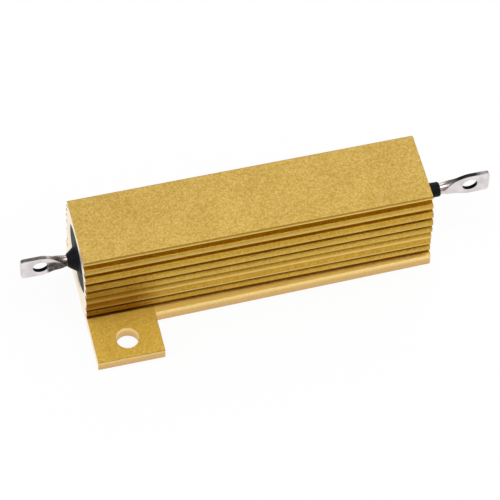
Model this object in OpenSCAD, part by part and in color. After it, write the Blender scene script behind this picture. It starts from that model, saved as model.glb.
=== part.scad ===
// Aluminium housed power resistor: a finned extrusion with two diagonal
// mounting ears, a wound ceramic core potted in its bore, and a flattened,
// pierced solder lug at each end.  Millimetres, Z up, base on Z = 0.
// X runs along the housing, the origin is under the middle of the lugs.

/* [Housing] */
// Length of the extruded housing
body_l = 49.3; // [47:0.1:54]
// Height from the mounting face to the top face
body_h = 14.1; // [13.5:0.1:16]
// Widest half width, measured over the ribs
belly_hw = 6.55; // [6.2:0.05:7.2]
// Radius of the barrel shape that the upper rib tips follow
belly_r = 13; // [11:0.5:20]
// Height at which the barrel shape starts to draw in
belly_z = 8.6; // [7.5:0.1:10]
// How far the housing sits off the middle of the core
housing_shift = 1.1; // [0:0.1:1.5]
// Bore diameter
bore_d = 9.8; // [9:0.1:10.2]
// Height of the bore axis over the mounting face
axis_z = 7.6; // [7.3:0.1:8]
// Chamfer at each mouth of the bore
bore_chamfer = 0.25; // [0.1:0.05:0.5]

/* [Ribs] */
// Gap of each of the three grooves beside the wide land and the lowest rib
groove = 0.58; // [0.4:0.02:0.8]
// Gap of the topmost groove
gap_top = 0.9; // [0.6:0.02:1.1]
// How much narrower each of the next three grooves is
gap_step = 0.1; // [0.05:0.01:0.14]
// Depth of each groove behind the rib tips
groove_depth = 0.8; // [0.4:0.05:0.9]
// Thickness of the lip under the top face
lip_t = 0.48; // [0.4:0.02:0.8]
// Rounding of the edges of the top face
top_round = 0.26; // [0.1:0.02:0.28]
// Thickness of the topmost rib
rib1_t = 0.58; // [0.5:0.02:1]
// Thickness of the second rib
rib2_t = 0.9; // [0.5:0.02:1]
// Thickness of the third rib
rib3_t = 1.02; // [0.5:0.02:1.1]
// Thickness of the fourth rib
rib4_t = 0.98; // [0.5:0.02:1.1]
// Thickness of the lowest rib, just over the base
foot_t = 0.88; // [0.5:0.02:1]
// Rounding of the lower edge of each rib
tip_round = 0.08; // [0.06:0.02:0.22]
// Rounding of the upper edge of each rib
rib_crown = 0.32; // [0.1:0.02:0.36]
// Depth of the hollow along the face of the wide land
land_dish = 0.24; // [0.05:0.01:0.25]
// Bevel along the upper edge of the wide land
land_bevel = 0.65; // [0.2:0.05:0.7]

/* [Base] */
// Overall width of the base over the ears
base_w = 27.4; // [26:0.1:30]
// Thickness of the base where it leaves the ribs
base_root_t = 2.15; // [2:0.05:2.5]
// Thickness of the base at the edge of the ears
base_edge_t = 1.75; // [1.4:0.05:2]
// Length of each mounting ear past its hole, towards the middle
ear_past_hole = 4.66; // [3:0.1:6]
// How far the trimmed edge stands out past the ribs, beside the ear
ledge_near = 1.05; // [0.8:0.05:1.4]
// How far the trimmed edge stands out past the ribs, at the far end
ledge_far = 0.48; // [0.3:0.02:1]
// Radius left by the cutter in the corner of each ear
ear_corner_r = 0.35; // [0.2:0.05:1]
// Distance between the mounting holes along the housing
hole_pitch_x = 39.7; // [38:0.1:41]
// Distance between the mounting holes across the housing
hole_pitch_y = 21.4; // [20.8:0.1:22]
// Diameter of the mounting holes
hole_d = 3.2; // [2.8:0.1:3.6]

/* [Core] */
// Length of the ceramic core
core_l = 40; // [36:0.5:42]
// Diameter of the ceramic core
core_d = 6; // [5:0.1:6.4]
// Diameter of the hole through the ceramic core
core_bore_d = 2; // [1:0.1:3]
// Diameter of the resistance wire
wire_d = 0.4; // [0.2:0.05:0.5]
// Distance between the turns of the winding
turn_pitch = 1.5; // [1:0.1:2.5]
// Wall of the end caps
cap_wall = 0.35; // [0.2:0.05:0.5]
// Depth of the end caps over the core
cap_l = 4.5; // [3:0.5:6]

/* [Lugs] */
// Overall length over both lugs
overall_l = 67.2; // [66:0.2:72]
// Diameter of the round shank of each lug
shank_d = 1.6; // [1.2:0.1:2]
// Width of the flattened end
flat_w = 3.9; // [3:0.1:4.4]
// Thickness of the flattened end
flat_t = 0.56; // [0.4:0.02:0.8]
// Round shank left bare between the potting and the flattened end
bare_l = 0.1; // [0.05:0.05:0.5]
// Distance from the eye to the end of the lug
eye_end = 2.8; // [2.4:0.1:3.2]
// Diameter of the eye
eye_d = 2.2; // [1.6:0.1:2.4]
// Rounding of the two corners at the end of the lug
lug_round = 0.5; // [0.2:0.1:1]

/* [Potting] */
// How far the potting stops short of the housing ends
pot_recess = 0.25; // [0.1:0.05:1]
// Clearance between the potting and the pieces it touches
pot_gap = 0.02; // [0.01:0.01:0.05]
// Height of the cone round the left lug
cone_l = 1.3; // [0.8:0.1:2]
// Radius of that cone at the housing end
cone_r = 1.85; // [1.6:0.05:3]
// Height of the sleeve that the potting leaves round the right lug
sleeve_l = 2.8; // [2:0.1:3.2]
// Wall of that sleeve
sleeve_wall = 0.25; // [0.15:0.05:0.6]

/* [Hidden] */
$fn = 96;
x_mid = -housing_shift;
x_left = x_mid - body_l / 2;
x_right = x_mid + body_l / 2;
bore_r = bore_d / 2;
// The land takes whatever height the lip, ribs and grooves leave.
z_foot = base_root_t + groove;
z_land = z_foot + foot_t + groove;
z_lip = body_h - lip_t;
z_rib1 = z_lip - gap(0) - rib1_t;
z_rib2 = z_rib1 - gap(1) - rib2_t;
z_rib3 = z_rib2 - gap(2) - rib3_t;
z_rib4 = z_rib3 - gap(3) - rib4_t;
land_t = z_rib4 - groove - z_land;
// The inner side of each ear is set from its hole.
ear_l = (body_l - hole_pitch_x) / 2 + ear_past_hole;
// Inner assembly, from the middle of the core outwards.
cap_r = core_d / 2 + cap_wall;
cap_end = core_l / 2 + cap_wall;
wound_l = core_l - 2 * cap_l - 2 * wire_d;
wound_r = core_d / 2 + wire_d;
turns = floor(wound_l / turn_pitch);
shank_r = shank_d / 2;
lug_end = overall_l / 2;
lug_l = lug_end - cap_end;
wide_x = lug_l - eye_end;
// Where each lug leaves the potting, from the face of its cap.
out_left = cone_l - x_left - cap_end;
out_right = x_right + sleeve_l - cap_end;
// A lug starts to widen clear of the potting, or inside it where the lug is
// so short that the eye would otherwise have no wall round it.
function flare_start(out) = min(out + bare_l, wide_x - flat_w / 2);

// Gap of one of the four upper grooves, counted from the top.
function gap(i) = gap_top - i * gap_step;
// Half width over the rib tips at a height.
function tip(z) = z <= belly_z ? belly_hw
    : belly_hw - belly_r + sqrt(pow(belly_r, 2) - pow(z - belly_z, 2));
// Half width at the bottom of the grooves at a height.
function root(z) = tip(z) - groove_depth;
// Smooth step from 0 to 1.
function ease(t) = t <= 0 ? 0 : t >= 1 ? 1 : t * t * (3 - 2 * t);

// Points along an arc.
function arc(c, r, from, to, n) =
    [for (i = [0:n]) let (a = from + (to - from) * i / n) c + r * [cos(a), sin(a)]];

// Outline of one rib from its underside to its top: a tip that follows the
// barrel, with a rounded edge below and one above.
function rib(z0, t, below = tip_round, above = rib_crown) =
    let (lo = [tip(z0) - below, z0 + below],
         hi = [tip(z0 + t) - above, z0 + t - above],
         face = hi - lo,
         lean = atan2(-face[0], face[1]))
    concat(arc(lo, below, -90, lean, 3), arc(hi, above, lean, 90, 3));

// Outline of the wide land: a dished face between two crests, and a bevel.
function land(z0, t) =
    let (crest = z0 + t - land_bevel,
         z1 = z0 + 1.5 * tip_round,
         h = crest - 0.15 - z1,
         r = (pow(h / 2, 2) + pow(land_dish, 2)) / (2 * land_dish),
         half = asin(h / 2 / r),
         w = belly_hw)
    concat(arc([w - tip_round, z0 + tip_round], tip_round, -90, 0, 3),
           arc([w - land_dish + r, z1 + h / 2], r, 180 + half, 180 - half, 6),
           [[w, crest], [w - land_bevel, z0 + t]]);

// Round bottom of a groove, from the height of its underside and its gap.
function groove_end(z0, g = groove) =
    let (r = g / 2) arc([root(z0 + r) + r, z0 + r], r, 270, 90, 8);

// Right half of the extruded section, from the base to the top face.
function half_section() = concat(
    [[base_w / 2, 0], [base_w / 2, base_edge_t], [belly_hw, base_root_t]],
    groove_end(base_root_t), rib(z_foot, foot_t),
    groove_end(z_foot + foot_t), land(z_land, land_t),
    groove_end(z_land + land_t), rib(z_rib4, rib4_t),
    groove_end(z_rib4 + rib4_t, gap(3)), rib(z_rib3, rib3_t),
    groove_end(z_rib3 + rib3_t, gap(2)), rib(z_rib2, rib2_t),
    groove_end(z_rib2 + rib2_t, gap(1)), rib(z_rib1, rib1_t),
    groove_end(z_rib1 + rib1_t, gap(0)), rib(z_lip, lip_t, lip_t / 4, top_round));

module section2d() {
    half = half_section();
    n = len(half) - 1;
    polygon(concat(half, [for (i = [n:-1:0]) [-half[i][0], half[i][1]]]));
}

// What is sawn off the base beside one ear: a straight cut, slightly out of
// parallel, with the cutter's radius in the corner of the ear.
module trim() {
    x = x_left + ear_l;
    near = belly_hw + ledge_near;
    far = belly_hw + ledge_far;
    slope = (near - far) / (x_right - x);
    translate([0, 0, -1]) linear_extrude(base_root_t + 1 + groove / 2) polygon(concat(
        [[x, -base_w]],
        arc([x + ear_corner_r, -near - ear_corner_r], ear_corner_r,
            180, 90 + atan(slope), 5),
        [[x_right + 1, -far + slope], [x_right + 1, -base_w]]));
}

// A turned shape along +X from a list of [x, radius] points.
module turned(p) {
    rotate([90, 0, 90]) rotate_extrude()
        polygon(concat([[0, p[0][0]]], [for (q = p) [q[1], q[0]]],
                       [[0, p[len(p) - 1][0]]]));
}

module housing() color("#cda64f") difference() {
    translate([x_left, 0, 0]) rotate([90, 0, 90]) linear_extrude(body_l) section2d();
    translate([x_left, 0, axis_z]) turned([
        [-1, bore_r + bore_chamfer], [0, bore_r + bore_chamfer],
        [bore_chamfer, bore_r], [body_l - bore_chamfer, bore_r],
        [body_l, bore_r + bore_chamfer], [body_l + 1, bore_r + bore_chamfer]]);
    for (a = [0, 180]) translate([x_mid, 0, 0]) rotate(a) translate([-x_mid, 0, 0]) {
        trim();
        translate([x_mid - hole_pitch_x / 2, -hole_pitch_y / 2, -1])
            cylinder(d = hole_d, h = base_root_t + 2);
    }
}

// Outline of the caps, lugs and winding space inside the potting.
module inner_space() {
    g = pot_gap;
    lug_blank(out_right, g);
    mirror([1, 0, 0]) lug_blank(out_left, g);
    translate([0, 0, axis_z]) turned([
        [-cap_end - g, cap_r + g], [-cap_end + cap_wall + cap_l + g, cap_r + g],
        [-cap_end + cap_wall + cap_l + g, wound_r + g],
        [cap_end - cap_wall - cap_l - g, wound_r + g],
        [cap_end - cap_wall - cap_l - g, cap_r + g], [cap_end + g, cap_r + g]]);
}

module potting() color("#17181b") difference() {
    r = bore_r - pot_gap;
    a = x_left + pot_recess;
    b = x_right - pot_recess;
    neck = shank_r + sleeve_wall;
    translate([0, 0, axis_z]) turned([
        [x_left - cone_l, shank_r + pot_gap + 0.05],
        [x_left - cone_l + 0.15, shank_r + pot_gap + 0.2],
        [x_left, cone_r], [a, cone_r + 2 * pot_recess], [a, r],
        [b, r], [b, neck + 1.5], [x_right + 0.35, neck + 0.4],
        [x_right + 1, neck + 0.05], [x_right + sleeve_l - 0.15, neck],
        [x_right + sleeve_l, neck - 0.1], [x_right + sleeve_l, shank_r + pot_gap + 0.05]]);
    inner_space();
}

module core() color("#e9e4d8") translate([-core_l / 2, 0, axis_z]) rotate([0, 90, 0])
    difference() {
        cylinder(d = core_d, h = core_l);
        translate([0, 0, -1]) cylinder(d = core_bore_d, h = core_l + 2);
    }

// Resistance wire: a six-sided section swept along a helix on the core.
module winding() {
    steps = 20;
    sides = 6;
    count = turns * steps;
    len_x = turns * turn_pitch;
    wr = wire_d / 2;
    hr = core_d / 2 + wr + 0.02;
    function at(i, j) =
        let (a = 360 * i / steps, b = 360 * j / sides + 30, q = hr + wr * cos(b))
        [len_x * (i / count - 0.5) + wr * sin(b), q * cos(a), q * sin(a)];
    color("#8d8478") translate([0, 0, axis_z]) polyhedron(
        points = [for (i = [0:count]) for (j = [0:sides - 1]) at(i, j)],
        faces = concat(
            [[for (j = [0:sides - 1]) j]],
            [for (i = [0:count - 1]) for (j = [0:sides - 1]) let (k = (j + 1) % sides)
                each [[i * sides + j, (i + 1) * sides + j, (i + 1) * sides + k],
                      [i * sides + j, (i + 1) * sides + k, i * sides + k]]],
            [[for (j = [sides - 1:-1:0]) count * sides + j]]));
}

// End cap drawn over the end of the core, opening towards -X.
module cap() translate([core_l / 2 - cap_l, 0, axis_z]) difference() {
    turned([[0, cap_r - 0.1], [0.1, cap_r], [cap_l + cap_wall - 0.25, cap_r],
            [cap_l + cap_wall, cap_r - 0.25]]);
    translate([-1, 0, 0]) turned([[0, core_d / 2], [cap_l + 1, core_d / 2]]);
}

module cap_right() color("#a7a9ab") cap();
module cap_left() color("#a7a9ab") mirror([1, 0, 0]) cap();

// Lug before its eye is pierced, grown by g: a round wire crushed flat towards
// its end.  The section is the round stock cut to the flat's thickness.
module lug_blank(out, g = 0) {
    n = 14;
    flare_x = flare_start(out);
    flare_l = wide_x - flare_x;
    function w(s) = shank_r + g + (flat_w / 2 - shank_r) * ease(s);
    function t(s) = shank_r + 0.02 + g + (flat_t / 2 - shank_r - 0.02) * ease(s * 1.7);
    side = [for (i = [0:n]) [flare_x + flare_l * i / n, t(i / n)]];
    half_t = flat_t / 2 + g;
    translate([cap_end, 0, axis_z]) intersection() {
        turned(concat([[0, shank_r + g]],
            [for (i = [0:n]) [flare_x + flare_l * i / n, w(i / n)]],
            [[lug_l - lug_round, flat_w / 2 + g],
             [lug_l - 0.3 * lug_round, flat_w / 2 + g - 0.3 * lug_round],
             [lug_l, flat_w / 2 + g - lug_round]]));
        translate([0, 0, -flat_w]) linear_extrude(2 * flat_w) polygon(concat(
            [[-1, -t(0)]], [for (p = side) [p[0], -p[1]]],
            [[lug_l + 1, -half_t], [lug_l + 1, half_t]],
            [for (i = [n:-1:0]) side[i]], [[-1, t(0)]]));
    }
}

// Solder lug welded to the cap: the blank with its eye.
module lug(out) difference() {
    lug_blank(out);
    translate([cap_end + wide_x, flat_w, axis_z]) rotate([90, 0, 0])
        cylinder(d = eye_d, h = 2 * flat_w);
}

module lug_right() color("#c9c8c4") lug(out_right);
module lug_left() color("#c9c8c4") mirror([1, 0, 0]) lug(out_left);

housing();
potting();
core();
winding();
cap_left();
cap_right();
lug_left();
lug_right();
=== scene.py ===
"""Aluminium housed power resistor: finishes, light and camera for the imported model."""
import math

import bmesh
import bpy
from mathutils import Matrix, Vector


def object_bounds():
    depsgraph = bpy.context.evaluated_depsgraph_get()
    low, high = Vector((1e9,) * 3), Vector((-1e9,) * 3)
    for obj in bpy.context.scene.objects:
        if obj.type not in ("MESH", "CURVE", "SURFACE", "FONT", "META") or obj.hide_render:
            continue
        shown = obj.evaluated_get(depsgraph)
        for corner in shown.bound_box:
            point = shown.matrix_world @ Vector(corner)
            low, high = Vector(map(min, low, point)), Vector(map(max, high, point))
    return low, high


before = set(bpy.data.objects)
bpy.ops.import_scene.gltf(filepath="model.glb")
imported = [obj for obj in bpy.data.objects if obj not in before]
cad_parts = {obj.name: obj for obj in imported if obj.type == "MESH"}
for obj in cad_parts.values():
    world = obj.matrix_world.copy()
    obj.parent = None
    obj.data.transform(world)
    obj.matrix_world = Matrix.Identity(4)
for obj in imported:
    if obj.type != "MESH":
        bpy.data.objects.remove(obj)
CAD_LOW, CAD_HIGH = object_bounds()
MM = 0.001

# Where the camera stands round the housing, and what it aims at.
CAMERA_AZIMUTH = math.radians(-16.104)
CAMERA_ELEVATION = math.radians(55.947)
CAMERA_ROLL = math.radians(2.48)
CAMERA_DISTANCE = 465.68 * MM
CAMERA_AIM = Vector((-0.846, 0, 1.408)) * MM
CAMERA_LENS = 238.35

# Everything further from the middle than this is base, trimmed after the extrusion.
MILLED_FROM_Y = 6.7 * MM
BASE_Z = 2.0 * MM
TOP_Z = CAD_HIGH.z
# Half width over the rib tips, and where and how round the barrel draws in above it.
BELLY_HALF = 6.55 * MM
BELLY_Z = 8.6 * MM
BELLY_R = 13 * MM
# How strongly painted highlights brighten the edges along the sides, by height in mm above the
# base.
EDGE_HIGHLIGHT_BY_HEIGHT = (
    (2.85, 0.0), (2.95, 0.25), (3.25, 0.0),  # foot rib
    (4.2, 0.0), (4.3, 0.8), (4.38, 0.8), (4.5, 0.0),  # lower crest of the wide land
    (5.74, 0.0), (5.84, 1.0), (5.96, 1.0), (6.08, 0.4), (6.3, 0.0),  # its upper crest
    (7.12, 0.0), (7.22, 0.4), (7.5, 0.0),  # fourth rib
    (8.7, 0.0), (8.84, 0.35), (9.1, 0.0),  # third rib
    (10.42, 0.0), (10.54, 0.4), (10.85, 0.0),  # second rib
    (12.05, 0.0), (12.14, 1.0), (12.3, 0.9), (12.42, 0.5), (12.7, 0.1), (12.71, 0.0),
    (13.5, 0.0), (13.6, 1.0), (13.82, 1.0), (13.87, 0.0))  # first rib, then the lip
# Middle and half length of the housing, and how far from its middle each ear begins.
MIDDLE_X = -1.1 * MM
BODY_HALF = 24.65 * MM
EAR_FROM_MID = 15.19 * MM
# The cut ends of the ears lie past this.
EAR_END_FROM_Y = 13 * MM
# Cosine past which a face counts as facing along an axis.
FACES_ALONG = 0.5
# Axis and radius of the eye in each lug: 2.8 mm from its end, on the bore's axis.
EYE_X = CAD_HIGH.x - 2.8 * MM
EYE_Z = 7.6 * MM
EYE_R = 1.1 * MM
# Softboxes: name, place in metres, side, and what a mirror would show of them.
SOFTBOXES = (
    ("softbox_top", (0.0, -0.01, 0.6), 0.35, 3.6),
    ("softbox_back", (0.15, 0.52, 0.25), 0.35, 2.1),
    ("softbox_front_right", (0.37, -0.37, 0.30), 0.5, 1.0),
    ("softbox_left", (-0.49, 0.0, 0.34), 0.5, 1.4),
    ("softbox_right", (0.49, 0.0, 0.34), 0.5, 1.4))
SKY_LEVEL = 0.3
FLOOR_HALF = 3.0
# Share of the floor that shows as plain white; the rest keeps the shadow.
WHITE_SHARE = 0.92


def linear(hex_colour):
    """An sRGB hex colour as the linear RGBA that shaders take."""
    values = [int(hex_colour[i:i + 2], 16) / 255 for i in (1, 3, 5)]
    return tuple(v / 12.92 if v <= 0.04045 else ((v + 0.055) / 1.055) ** 2.4
                 for v in values) + (1.0,)


def add(tree, kind, inputs=(), **settings):
    """Adds a node, sets it, and fills its sockets with values or links."""
    node = tree.nodes.new(kind)
    for name, value in settings.items():
        setattr(node, name, value)
    for name, value in dict(inputs).items():
        if isinstance(value, bpy.types.NodeSocket):
            tree.links.new(value, node.inputs[name])
        else:
            node.inputs[name].default_value = value
    return node


def blank_material(name):
    """A new material with an empty tree, its surface shader and its output."""
    material = bpy.data.materials.new(name)
    material.use_nodes = True
    tree = material.node_tree
    tree.nodes.clear()
    shader = tree.nodes.new("ShaderNodeBsdfPrincipled")
    output = tree.nodes.new("ShaderNodeOutputMaterial")
    tree.links.new(shader.outputs[0], output.inputs["Surface"])
    return material, tree, shader


def ramp(tree, factor, *stops):
    """A ramp through (position, value) stops, where a value is a hex colour or a share."""
    node = add(tree, "ShaderNodeValToRGB", {"Fac": factor})
    points = node.color_ramp.elements
    while len(points) < len(stops):
        points.new(0.5)
    for point, (position, value) in zip(points, stops):
        point.position = position
        point.color = linear(value) if isinstance(value, str) else (value, value, value, 1.0)
    return node.outputs["Color"]


def find_housing_places(tree, coordinates):
    """Sockets that say where a point of the housing lies, shared by the masks below."""
    where = add(tree, "ShaderNodeSeparateXYZ", {"Vector": coordinates.outputs["Object"]})
    aside = add(tree, "ShaderNodeMath", {0: where.outputs["Y"]}, operation="ABSOLUTE")
    level = add(tree, "ShaderNodeMath", {0: where.outputs["Z"], 1: TOP_Z},
                operation="DIVIDE")
    # Half width with the barrel of the rib tips unrolled: BELLY_HALF at every tip.
    over_belly = add(tree, "ShaderNodeMath", {0: where.outputs["Z"], 1: BELLY_Z},
                     operation="SUBTRACT")
    rise = add(tree, "ShaderNodeMath", {0: over_belly.outputs[0], 1: 0.0},
               operation="MAXIMUM")
    draw_in = add(tree, "ShaderNodeMath", {0: rise.outputs[0], 1: 2.0}, operation="POWER")
    unrolled = add(tree, "ShaderNodeMath", {0: draw_in.outputs[0], 1: 0.5 / BELLY_R,
                                            2: aside.outputs[0]}, operation="MULTIPLY_ADD")
    # The ears start EAR_FROM_MID from the middle, at opposite corners.
    side = add(tree, "ShaderNodeMath", {0: where.outputs["Y"]}, operation="SIGN")
    from_mid = add(tree, "ShaderNodeMath", {0: MIDDLE_X, 1: where.outputs["X"]},
                   operation="SUBTRACT")
    clear_of_ear = add(tree, "ShaderNodeMath", {0: from_mid.outputs[0], 1: side.outputs[0]},
                       operation="MULTIPLY")
    off_ear = add(tree, "ShaderNodeMath", {0: clear_of_ear.outputs[0], 1: -EAR_FROM_MID},
                  operation="GREATER_THAN")
    on_ear = add(tree, "ShaderNodeMath", {0: 1.0, 1: off_ear.outputs[0]},
                 operation="SUBTRACT")
    # The top of the base, out past the ribs.
    outer = add(tree, "ShaderNodeMapRange", {
        "Value": aside.outputs[0], "From Min": BELLY_HALF - 0.3 * MM,
        "From Max": BELLY_HALF + 0.2 * MM})
    low = add(tree, "ShaderNodeMath", {0: where.outputs["Z"], 1: BASE_Z + 0.3 * MM},
              operation="LESS_THAN")
    base_top = add(tree, "ShaderNodeMath", {0: outer.outputs[0], 1: low.outputs[0]},
                   operation="MULTIPLY")
    return {"z": where.outputs["Z"], "level": level.outputs[0], "aside": aside.outputs[0],
            "unrolled": unrolled.outputs[0], "from_mid": from_mid.outputs[0],
            "clear_of_ear": clear_of_ear.outputs[0], "off_ear": off_ear.outputs[0],
            "on_ear": on_ear.outputs[0], "base_top": base_top.outputs[0]}


def find_cut_faces(tree, coordinates, places):
    """Masks of all faces cut to size, and of those that were sawn and face along X."""
    facing = add(tree, "ShaderNodeSeparateXYZ", {"Vector": coordinates.outputs["Normal"]})
    along = add(tree, "ShaderNodeMath", {0: facing.outputs["X"]}, operation="ABSOLUTE")
    sawn = add(tree, "ShaderNodeMath", {0: along.outputs[0], 1: FACES_ALONG},
               operation="GREATER_THAN")
    # Milled edges stand out past the ribs and face sideways.
    upward = add(tree, "ShaderNodeMath", {0: facing.outputs["Z"]}, operation="ABSOLUTE")
    sideways = add(tree, "ShaderNodeMath", {0: upward.outputs[0], 1: FACES_ALONG},
                   operation="LESS_THAN")
    past_ribs = add(tree, "ShaderNodeMath", {0: places["aside"], 1: MILLED_FROM_Y},
                    operation="GREATER_THAN")
    milled = add(tree, "ShaderNodeMath", {0: sideways.outputs[0], 1: past_ribs.outputs[0]},
                 operation="MULTIPLY")
    cut = add(tree, "ShaderNodeMath", {0: sawn.outputs[0], 1: milled.outputs[0]},
              operation="MAXIMUM")
    return cut.outputs[0], sawn.outputs[0]


def dye_skin(tree, place, grain):
    """The blasted skin: grain over dye that is uneven in patches about 7 mm across."""
    dye = add(tree, "ShaderNodeTexNoise", {
        "Vector": place, "Scale": 1 / (7 * MM), "Detail": 2.0, "Roughness": 0.5})
    dyed = ramp(tree, dye.outputs["Fac"], (0.3, "#F4F1EC"), (0.7, "#FFFFFF"))
    grained = ramp(tree, grain, (0.0, "#C29E46"), (0.5, "#D4B25E"), (1.0, "#E5C677"))
    return add(tree, "ShaderNodeMix", {"Factor": 1.0, "A": dyed, "B": grained},
               data_type="RGBA", blend_type="MULTIPLY").outputs[2]


def paint_groove_shade(tree, places, colour):
    """A slight warm tint over all but the top is the dye's own; down in the grooves, over the
    first millimetre behind the tips, it deepens into painted shade.
    """
    depth = add(tree, "ShaderNodeMapRange", {
        "Value": places["unrolled"], "From Min": BELLY_HALF,
        "From Max": BELLY_HALF - 1.0 * MM, "To Min": 0.15})
    under_top = add(tree, "ShaderNodeMath", {0: places["z"], 1: TOP_Z - 0.1 * MM},
                    operation="LESS_THAN")
    grooved = add(tree, "ShaderNodeMath", {0: depth.outputs[0], 1: under_top.outputs[0]},
                  operation="MULTIPLY")
    groove_tone_and_shade = ramp(tree, grooved.outputs[0], (0.0, "#FFFFFF"), (0.15, "#FFFCD6"),
                  (0.36, "#FBEAA2"), (0.58, "#E4CA68"), (0.7, "#DBBE5A"),
                  (0.8, "#CBAC48"), (0.92, "#9C7A2C"))
    return add(tree, "ShaderNodeMix", {"Factor": 1.0, "A": colour, "B": groove_tone_and_shade},
               data_type="RGBA", blend_type="MULTIPLY").outputs[2]


def paint_edge_highlights(tree, places, colour):
    """Painted highlights brighten rib edges, crests of the land and the trimmed ledge, but no
    ear.
    """
    edge_highlight = ramp(tree, places["level"], *(
        (height_mm * MM / TOP_Z, share) for height_mm, share in EDGE_HIGHLIGHT_BY_HEIGHT))
    ledge = add(tree, "ShaderNodeMath", {0: places["off_ear"], 1: places["base_top"]},
                operation="MULTIPLY")
    highlight_share = add(tree, "ShaderNodeMath", {0: ledge.outputs[0], 1: edge_highlight},
               operation="MAXIMUM")
    return add(tree, "ShaderNodeMix", {
        "Factor": highlight_share.outputs[0], "A": colour, "B": linear("#F9D678")},
        data_type="RGBA").outputs[2]


def paint_ear_top_light(tree, places, colour):
    """Painted light: the top of each ear is paler beside the ribs, lifting their shade."""
    ear_top = add(tree, "ShaderNodeMath", {0: places["on_ear"], 1: places["base_top"]},
                  operation="MULTIPLY")
    near_ribs = add(tree, "ShaderNodeMapRange", {
        "Value": places["aside"], "From Min": BELLY_HALF + 2.1 * MM,
        "From Max": BELLY_HALF + 0.3 * MM, "To Max": 0.65})
    pale = add(tree, "ShaderNodeMath", {0: ear_top.outputs[0], 1: near_ribs.outputs[0]},
               operation="MULTIPLY")
    return add(tree, "ShaderNodeMix", {
        "Factor": pale.outputs[0], "A": colour, "B": linear("#FFD45E")},
        data_type="RGBA").outputs[2]


def paint_lip_corner_shade(tree, places, colour):
    """Painted shade: a thin dark line along the corner above the lip's front."""
    near_top = ramp(tree, places["level"], (0.983, 0.0), (0.987, 0.85), (1.0, 0.85))
    near_tip = add(tree, "ShaderNodeMath", {0: places["unrolled"],
                                            1: BELLY_HALF - 0.17 * MM},
                   operation="GREATER_THAN")
    corner_shade = add(tree, "ShaderNodeMath", {0: near_top, 1: near_tip.outputs[0]},
                operation="MULTIPLY")
    return add(tree, "ShaderNodeMix", {
        "Factor": corner_shade.outputs[0], "A": colour, "B": linear("#A08038")},
        data_type="RGBA").outputs[2]


def paint_ear_rib_shade(tree, places, colour):
    """Painted shade: the ribs over each ear are darker, most of all near the foot."""
    beside_ear = add(tree, "ShaderNodeMapRange", {
        "Value": places["clear_of_ear"], "From Min": 1.5 * MM - EAR_FROM_MID,
        "From Max": -3 * MM - EAR_FROM_MID})
    on_ribs = add(tree, "ShaderNodeMath", {0: places["aside"], 1: BELLY_HALF + 0.03 * MM},
                  operation="LESS_THAN")
    ear_ribs = add(tree, "ShaderNodeMath", {0: beside_ear.outputs[0],
                                            1: on_ribs.outputs[0]}, operation="MULTIPLY")
    shades = ramp(tree, places["level"], (0.17, "#BFA376"), (0.3, "#CFB892"),
                  (0.48, "#DDCDB0"), (0.75, "#F0E9DB"), (0.97, "#FFFFFF"))
    return add(tree, "ShaderNodeMix", {
        "Factor": ear_ribs.outputs[0], "A": colour, "B": shades},
        data_type="RGBA", blend_type="MULTIPLY").outputs[2]


def colour_cut_faces(tree, place, places, sawn):
    """Cut faces: paler, with a painted highlight that brightens them towards their upper edge,
    a thin dark line along the upper edge of the ear ends, and pale sawn ends.
    """
    height = add(tree, "ShaderNodeMapRange", {"Value": places["z"], "From Max": BASE_Z})
    # Painted highlight: the faces brighten towards their upper edge, over their own paler
    # colour.
    pale_and_highlighted = ramp(tree, height.outputs[0], (0.0, "#D6AE70"), (0.55, "#E2B971"),
                  (0.8, "#FBDB8C"), (1.0, "#FFE193"))
    # Cutter marks about 0.25 mm apart.
    marks = add(tree, "ShaderNodeTexNoise", {
        "Vector": place, "Scale": 1 / (0.25 * MM), "Detail": 2.0})
    streaks = ramp(tree, marks.outputs["Fac"], (0.3, "#EDEBE8"), (0.7, "#FFFFFF"))
    marked = add(tree, "ShaderNodeMix", {"Factor": 1.0, "A": pale_and_highlighted, "B": streaks},
                 data_type="RGBA", blend_type="MULTIPLY")
    # Where an ear was cut, a thin dark line runs along the upper edge.
    dark_line_band = ramp(tree, height.outputs[0], (0.78, 0.0), (0.82, 0.9), (1.0, 0.9))
    far_out = add(tree, "ShaderNodeMath", {0: places["aside"], 1: EAR_END_FROM_Y},
                  operation="GREATER_THAN")
    ear_end = add(tree, "ShaderNodeMath", {0: places["on_ear"], 1: far_out.outputs[0]},
                  operation="MULTIPLY")
    dark_line = add(tree, "ShaderNodeMath", {0: ear_end.outputs[0], 1: dark_line_band},
               operation="MULTIPLY")
    dark_lined = add(tree, "ShaderNodeMix", {"Factor": dark_line.outputs[0], "A": marked.outputs[2],
                                         "B": linear("#806326")}, data_type="RGBA")
    # The sawn ends are paler still, with the chamfer round the bore.
    end_off = add(tree, "ShaderNodeMath", {0: places["from_mid"]}, operation="ABSOLUTE")
    at_end = add(tree, "ShaderNodeMath", {0: end_off.outputs[0], 1: BODY_HALF - 0.3 * MM},
                 operation="GREATER_THAN")
    sawn_end = add(tree, "ShaderNodeMath", {0: sawn, 1: at_end.outputs[0]},
                   operation="MULTIPLY")
    return add(tree, "ShaderNodeMix", {
        "Factor": sawn_end.outputs[0], "A": dark_lined.outputs[2], "B": linear("#FCEFD8")},
        data_type="RGBA").outputs[2]


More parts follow.
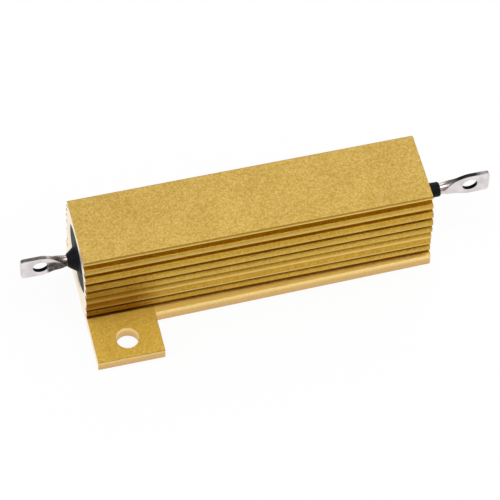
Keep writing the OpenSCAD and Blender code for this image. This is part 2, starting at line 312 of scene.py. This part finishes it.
def make_anodised_aluminium():
    # Extruded aluminium, bead blasted and anodised gold: an even satin sheen with a fine
    # sandy grain and slightly uneven dye.  Faces sawn or milled to size are smoother, paler
    # and brighter.
    material, tree, shader = blank_material("anodised_aluminium_gold")
    coordinates = add(tree, "ShaderNodeTexCoord")
    place = coordinates.outputs["Object"]
    places = find_housing_places(tree, coordinates)
    cut, sawn = find_cut_faces(tree, coordinates, places)
    # Blasting grit about 0.12 mm, drawn as 0.28 mm so that it shows.
    grit = add(tree, "ShaderNodeTexNoise", {
        "Vector": place, "Scale": 1 / (0.28 * MM), "Detail": 3.0, "Roughness": 0.6})
    grain = add(tree, "ShaderNodeMapRange", {
        "Value": grit.outputs["Fac"], "From Min": 0.32, "From Max": 0.68}).outputs[0]
    skin = dye_skin(tree, place, grain)
    # Painted shade in the grooves, on the ribs over each ear and along the lip's corner;
    # painted light on edges, ledge and ear tops.
    for finish in (paint_groove_shade, paint_edge_highlights, paint_ear_top_light, paint_lip_corner_shade, paint_ear_rib_shade):
        skin = finish(tree, places, skin)
    colour = add(tree, "ShaderNodeMix", {
        "Factor": cut, "A": skin, "B": colour_cut_faces(tree, place, places, sawn)},
        data_type="RGBA")
    shader.inputs["Metallic"].default_value = 1.0
    tree.links.new(colour.outputs[2], shader.inputs["Base Color"])
    satin = add(tree, "ShaderNodeMapRange", {"Value": grain, "To Min": 0.42, "To Max": 0.56})
    rough = add(tree, "ShaderNodeMix", {"Factor": cut, "A": satin.outputs[0], "B": 0.36},
                data_type="FLOAT")
    tree.links.new(rough.outputs[0], shader.inputs["Roughness"])
    # Edges broken to about 0.1 mm by blasting.
    soft_edge = add(tree, "ShaderNodeBevel", {"Radius": 0.1 * MM}, samples=4)
    bump = add(tree, "ShaderNodeBump", {
        "Height": grain, "Strength": 0.6, "Distance": 0.02 * MM,
        "Normal": soft_edge.outputs[0]})
    tree.links.new(bump.outputs[0], shader.inputs["Normal"])
    return material


def make_silicone_cement():
    # Black silicone potting poured in the bore: a dull skin with soft swells and fine grains.
    material, tree, shader = blank_material("silicone_potting_black")
    place = add(tree, "ShaderNodeTexCoord").outputs["Object"]
    # Swells about 1.5 mm across.
    swell = add(tree, "ShaderNodeTexNoise", {
        "Vector": place, "Scale": 1 / (1.5 * MM), "Detail": 3.0})
    # Filler grains about 0.2 mm.
    filler = add(tree, "ShaderNodeTexNoise", {
        "Vector": place, "Scale": 1 / (0.2 * MM), "Detail": 2.0})
    tree.links.new(ramp(tree, filler.outputs["Fac"], (0.35, "#090A0D"), (0.75, "#15161B")),
                   shader.inputs["Base Color"])
    rough = add(tree, "ShaderNodeMapRange", {
        "Value": swell.outputs["Fac"], "To Min": 0.45, "To Max": 0.65})
    tree.links.new(rough.outputs[0], shader.inputs["Roughness"])
    shader.inputs["IOR"].default_value = 1.41
    shader.inputs["Specular IOR Level"].default_value = 0.15
    fine = add(tree, "ShaderNodeBump", {
        "Height": filler.outputs["Fac"], "Strength": 0.3, "Distance": 0.03 * MM})
    bump = add(tree, "ShaderNodeBump", {
        "Height": swell.outputs["Fac"], "Strength": 0.5, "Distance": 0.12 * MM,
        "Normal": fine.outputs[0]})
    tree.links.new(bump.outputs[0], shader.inputs["Normal"])
    return material


def find_punched_wall(tree, facing, where, aside):
    """Mask of the wall of the eye, by the distance from its axis in the plane of the flat."""
    off_x = add(tree, "ShaderNodeMath", {0: aside, 1: EYE_X}, operation="SUBTRACT")
    off_z = add(tree, "ShaderNodeMath", {0: where.outputs["Z"], 1: EYE_Z},
                operation="SUBTRACT")
    flat = add(tree, "ShaderNodeCombineXYZ", {"X": off_x.outputs[0], "Z": off_z.outputs[0]})
    reach = add(tree, "ShaderNodeVectorMath", {0: flat.outputs[0]}, operation="LENGTH")
    near_eye = add(tree, "ShaderNodeMath", {0: reach.outputs["Value"], 1: EYE_R + 0.04 * MM},
                   operation="LESS_THAN")
    outward = add(tree, "ShaderNodeMath", {0: facing.outputs["Y"]}, operation="ABSOLUTE")
    wall = add(tree, "ShaderNodeMath", {0: outward.outputs[0], 1: 0.6}, operation="LESS_THAN")
    return add(tree, "ShaderNodeMath", {0: near_eye.outputs[0], 1: wall.outputs[0]},
               operation="MULTIPLY").outputs[0]


def find_left_shade(tree, where, aside, left, blotches):
    """Masks of the left lug past its eye, with a ragged border, and of the flat alone, for the
    painted shade there.
    """
    ragged = add(tree, "ShaderNodeMath", {0: blotches, 1: 0.6 * MM, 2: aside},
                 operation="MULTIPLY_ADD")
    past_eye = add(tree, "ShaderNodeMapRange", {
        "Value": ragged.outputs[0], "From Min": EYE_X - 0.45 * MM,
        "From Max": EYE_X - 0.85 * MM})
    left_neck = add(tree, "ShaderNodeMath", {0: past_eye.outputs[0], 1: left},
                    operation="MULTIPLY")
    under_edge = add(tree, "ShaderNodeMapRange", {
        "Value": where.outputs["Z"], "From Min": EYE_Z + 0.9 * MM,
        "From Max": EYE_Z + 0.5 * MM})
    left_shaded = add(tree, "ShaderNodeMath", {0: left_neck.outputs[0], 1: under_edge.outputs[0]},
                  operation="MULTIPLY")
    return left_neck.outputs[0], left_shaded.outputs[0]


def shade_rolled_edges(tree, facing, aside, left, neck, left_neck, tin):
    """Rolled edges face up or down.  Painted shade darkens them, but less in places: near both
    necks, and at the outer end of the lug towards +X."""
    upward = add(tree, "ShaderNodeMath", {0: facing.outputs["Z"]}, operation="ABSOLUTE")
    edge = add(tree, "ShaderNodeMapRange", {
        "Value": upward.outputs[0], "From Min": 0.35, "From Max": 0.9})
    shade_relief = add(tree, "ShaderNodeMapRange", {"Value": left, "To Min": -1.6, "To Max": 0.0})
    shade_right = add(tree, "ShaderNodeMath", {0: neck, 1: shade_relief.outputs[0], 2: 1.0},
                     operation="MULTIPLY_ADD")
    shade_inside = add(tree, "ShaderNodeMath", {0: shade_right.outputs[0], 1: left_neck},
                      operation="SUBTRACT", use_clamp=True)
    to_end = add(tree, "ShaderNodeMapRange", {
        "Value": aside, "From Min": EYE_X + 0.7 * MM, "From Max": EYE_X + 1.7 * MM,
        "To Min": 1.0, "To Max": 0.25})
    shade_outside = add(tree, "ShaderNodeMath", {0: to_end.outputs[0], 1: left},
                       operation="MAXIMUM")
    edge_shade = add(tree, "ShaderNodeMath", {0: shade_inside.outputs[0],
                                        1: shade_outside.outputs[0]}, operation="MULTIPLY")
    share = add(tree, "ShaderNodeMath", {0: edge.outputs[0], 1: edge_shade.outputs[0]},
                operation="MULTIPLY")
    grey = ramp(tree, left, (0.0, "#3E3836"), (1.0, "#8C8684"))
    return add(tree, "ShaderNodeMix", {"Factor": share.outputs[0], "A": tin, "B": grey},
               data_type="RGBA").outputs[2]


def make_tinned_lug():
    # Crushed copper wire dipped in tin: bright silver, faintly wavy, with drag marks along
    # the wire.  Painted shade darkens the rolled edges, the punched wall of the eye, and on
    # the lug towards -X the neck and the flat past the eye.
    material, tree, shader = blank_material("tinned_copper")
    coordinates = add(tree, "ShaderNodeTexCoord")
    place = coordinates.outputs["Object"]
    # Drag marks 0.15 mm wide and ten times as long.
    drawn = add(tree, "ShaderNodeMapping", {"Vector": place, "Scale": (0.1, 1.0, 1.0)})
    marks = add(tree, "ShaderNodeTexNoise", {
        "Vector": drawn.outputs[0], "Scale": 1 / (0.15 * MM), "Detail": 3.0})
    # Waves of the tin about 1.2 mm across.
    waves = add(tree, "ShaderNodeTexNoise", {
        "Vector": place, "Scale": 1 / (1.2 * MM), "Detail": 1.0})
    tin = ramp(tree, waves.outputs["Fac"], (0.3, "#D2CACA"), (0.7, "#EAE3E3"))
    # Blotches about 0.5 mm across, which mottle the painted shade past the left eye.
    blotches = add(tree, "ShaderNodeTexNoise", {
        "Vector": place, "Scale": 1 / (0.5 * MM), "Detail": 2.0}).outputs["Fac"]
    facing = add(tree, "ShaderNodeSeparateXYZ", {"Vector": coordinates.outputs["Normal"]})
    where = add(tree, "ShaderNodeSeparateXYZ", {"Vector": place})
    aside = add(tree, "ShaderNodeMath", {0: where.outputs["X"]},
                operation="ABSOLUTE").outputs[0]
    left = add(tree, "ShaderNodeMath", {0: where.outputs["X"], 1: 0.0},
               operation="LESS_THAN").outputs[0]
    # The neck darkens over the last 3 mm before the potting, as painted shade on the lug
    # towards -X and as a tinge on the other.
    neck = add(tree, "ShaderNodeMapRange", {
        "Value": aside, "From Min": EYE_X - 1.6 * MM, "From Max": EYE_X - 4.6 * MM,
        "To Max": 0.5}).outputs[0]
    left_neck, left_shaded = find_left_shade(tree, where, aside, left, blotches)
    edge_shaded = shade_rolled_edges(tree, facing, aside, left, neck, left_neck, tin)
    # The neck towards -X is dark with painted shade, and the other is only tinged.
    neck_colour = ramp(tree, left, (0.0, "#CDBBB8"), (1.0, "#5A504C"))
    necked = add(tree, "ShaderNodeMix", {"Factor": neck, "A": edge_shaded, "B": neck_colour},
                 data_type="RGBA")
    # Painted shade, in blotches, darkens the flat between eye and neck on that side.
    left_shade_colour = ramp(tree, blotches, (0.35, "#332F2D"), (0.65, "#625A56"))
    blotched = add(tree, "ShaderNodeMix", {"Factor": left_shaded, "A": necked.outputs[2],
                                           "B": left_shade_colour}, data_type="RGBA")
    # Painted shade darkens the punched wall of the eye.
    punched = find_punched_wall(tree, facing, where, aside)
    colour = add(tree, "ShaderNodeMix", {"Factor": punched, "A": blotched.outputs[2],
                                         "B": linear("#1D1C1F")}, data_type="RGBA")
    shader.inputs["Metallic"].default_value = 1.0
    tree.links.new(colour.outputs[2], shader.inputs["Base Color"])
    rough = add(tree, "ShaderNodeMapRange", {
        "Value": marks.outputs["Fac"], "To Min": 0.2, "To Max": 0.36})
    tree.links.new(rough.outputs[0], shader.inputs["Roughness"])
    fine = add(tree, "ShaderNodeBump", {
        "Height": marks.outputs["Fac"], "Strength": 0.25, "Distance": 0.01 * MM})
    bump = add(tree, "ShaderNodeBump", {
        "Height": waves.outputs["Fac"], "Strength": 0.35, "Distance": 0.08 * MM,
        "Normal": fine.outputs[0]})
    tree.links.new(bump.outputs[0], shader.inputs["Normal"])
    return material


def make_steatite():
    # Steatite core, fired unglazed: off-white, chalky, with faint grey specks.
    material, tree, shader = blank_material("steatite_ceramic")
    place = add(tree, "ShaderNodeTexCoord").outputs["Object"]
    # Specks about 0.3 mm.
    specks = add(tree, "ShaderNodeTexNoise", {
        "Vector": place, "Scale": 1 / (0.3 * MM), "Detail": 4.0})
    tree.links.new(ramp(tree, specks.outputs["Fac"], (0.3, "#D9D3C5"), (0.6, "#ECE7DB")),
                   shader.inputs["Base Color"])
    shader.inputs["Roughness"].default_value = 0.62
    bump = add(tree, "ShaderNodeBump", {
        "Height": specks.outputs["Fac"], "Strength": 0.3, "Distance": 0.02 * MM})
    tree.links.new(bump.outputs[0], shader.inputs["Normal"])
    return material


def make_resistance_wire():
    # Drawn nickel-chromium wire: brownish grey with a thin oxide that varies along it.
    material, tree, shader = blank_material("nickel_chromium_wire")
    place = add(tree, "ShaderNodeTexCoord").outputs["Object"]
    # Oxide patches about 0.8 mm long.
    oxide = add(tree, "ShaderNodeTexNoise", {
        "Vector": place, "Scale": 1 / (0.8 * MM), "Detail": 2.0})
    shader.inputs["Metallic"].default_value = 1.0
    tree.links.new(ramp(tree, oxide.outputs["Fac"], (0.3, "#7C7267"), (0.7, "#A39A8E")),
                   shader.inputs["Base Color"])
    rough = add(tree, "ShaderNodeMapRange", {
        "Value": oxide.outputs["Fac"], "To Min": 0.28, "To Max": 0.45})
    tree.links.new(rough.outputs[0], shader.inputs["Roughness"])
    return material


def make_cap_steel():
    # Drawn steel cap, plated: cool grey with fine lines left along it by the die.
    material, tree, shader = blank_material("plated_steel")
    place = add(tree, "ShaderNodeTexCoord").outputs["Object"]
    drawn = add(tree, "ShaderNodeMapping", {"Vector": place, "Scale": (0.08, 1.0, 1.0)})
    # Die lines 0.2 mm apart.
    lines = add(tree, "ShaderNodeTexNoise", {
        "Vector": drawn.outputs[0], "Scale": 1 / (0.2 * MM), "Detail": 2.0})
    shader.inputs["Metallic"].default_value = 1.0
    tree.links.new(ramp(tree, lines.outputs["Fac"], (0.3, "#9C9EA1"), (0.7, "#B4B6B8")),
                   shader.inputs["Base Color"])
    rough = add(tree, "ShaderNodeMapRange", {
        "Value": lines.outputs["Fac"], "To Min": 0.25, "To Max": 0.42})
    tree.links.new(rough.outputs[0], shader.inputs["Roughness"])
    return material


def dress(material, *names):
    """Gives CAD nodes their finish."""
    for name in names:
        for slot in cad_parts[name].material_slots:
            slot.material = material


dress(make_anodised_aluminium(), "housing")
dress(make_silicone_cement(), "potting")
dress(make_tinned_lug(), "lug_left", "lug_right")
dress(make_steatite(), "core")
dress(make_resistance_wire(), "winding")
dress(make_cap_steel(), "cap_left", "cap_right")


def make_floor():
    """A pale floor that shows near white and keeps a faint shadow."""
    mesh = bpy.data.meshes.new("floor")
    shape = bmesh.new()
    bmesh.ops.create_grid(shape, x_segments=1, y_segments=1, size=FLOOR_HALF)
    shape.to_mesh(mesh)
    shape.free()
    floor = bpy.data.objects.new("floor", mesh)
    floor.location.z = -0.02 * MM
    bpy.context.scene.collection.objects.link(floor)
    material = bpy.data.materials.new("floor_white")
    material.use_nodes = True
    tree = material.node_tree
    tree.nodes.clear()
    path = add(tree, "ShaderNodeLightPath")
    mirrored = add(tree, "ShaderNodeMath", {
        0: path.outputs["Is Glossy Ray"], 1: path.outputs["Is Transmission Ray"]},
                   operation="MAXIMUM")
    seen = add(tree, "ShaderNodeMath", {0: path.outputs["Is Camera Ray"],
                                        1: mirrored.outputs[0]}, operation="MAXIMUM")
    share = add(tree, "ShaderNodeMath", {0: seen.outputs[0], 1: WHITE_SHARE},
                operation="MULTIPLY")
    matt = add(tree, "ShaderNodeBsdfDiffuse", {"Color": linear("#F4F4F4")})
    glow = add(tree, "ShaderNodeEmission", {"Color": linear("#FFFFFF"), "Strength": 1.0})
    mixed = add(tree, "ShaderNodeMixShader", {0: share.outputs[0], 1: matt.outputs[0],
                                              2: glow.outputs[0]})
    add(tree, "ShaderNodeOutputMaterial", {"Surface": mixed.outputs[0]})
    floor.data.materials.append(material)


def make_softbox(name, place, size, brightness):
    """A square lamp facing the part; brightness is what a mirror would show of it."""
    lamp = bpy.data.lights.new(name, "AREA")
    lamp.shape = "SQUARE"
    lamp.size = size
    lamp.energy = brightness * math.pi * size * size
    holder = bpy.data.objects.new(name, lamp)
    holder.location = Vector(place)
    holder.rotation_euler = (-holder.location).to_track_quat("-Z", "Y").to_euler()
    bpy.context.scene.collection.objects.link(holder)


def make_light():
    world = bpy.data.worlds.new("studio")
    bpy.context.scene.world = world
    world.use_nodes = True
    world.node_tree.nodes.clear()
    tree = world.node_tree
    sky = add(tree, "ShaderNodeBackground", {"Color": linear("#FFFFFF"), "Strength": SKY_LEVEL})
    add(tree, "ShaderNodeOutputWorld", {"Surface": sky.outputs[0]})
    for name, place, side, brightness in SOFTBOXES:
        make_softbox(name, place, side, brightness)


def make_camera():
    back = Vector((math.sin(CAMERA_AZIMUTH) * math.cos(CAMERA_ELEVATION),
                   -math.cos(CAMERA_AZIMUTH) * math.cos(CAMERA_ELEVATION),
                   math.sin(CAMERA_ELEVATION)))
    right = Vector((math.cos(CAMERA_AZIMUTH), math.sin(CAMERA_AZIMUTH), 0))
    up = back.cross(right)
    level = Matrix((right, up, back)).transposed().to_4x4()
    data = bpy.data.cameras.new("camera")
    data.sensor_width = 36.0
    data.lens = CAMERA_LENS
    data.clip_start = 0.01
    data.clip_end = 20.0
    camera = bpy.data.objects.new("camera", data)
    camera.matrix_world = (Matrix.Translation(CAMERA_AIM + back * CAMERA_DISTANCE) @ level
                           @ Matrix.Rotation(CAMERA_ROLL, 4, "Z"))
    bpy.context.scene.collection.objects.link(camera)
    bpy.context.scene.camera = camera


make_floor()
make_light()
make_camera()
bpy.context.scene.view_settings.view_transform = "Standard"
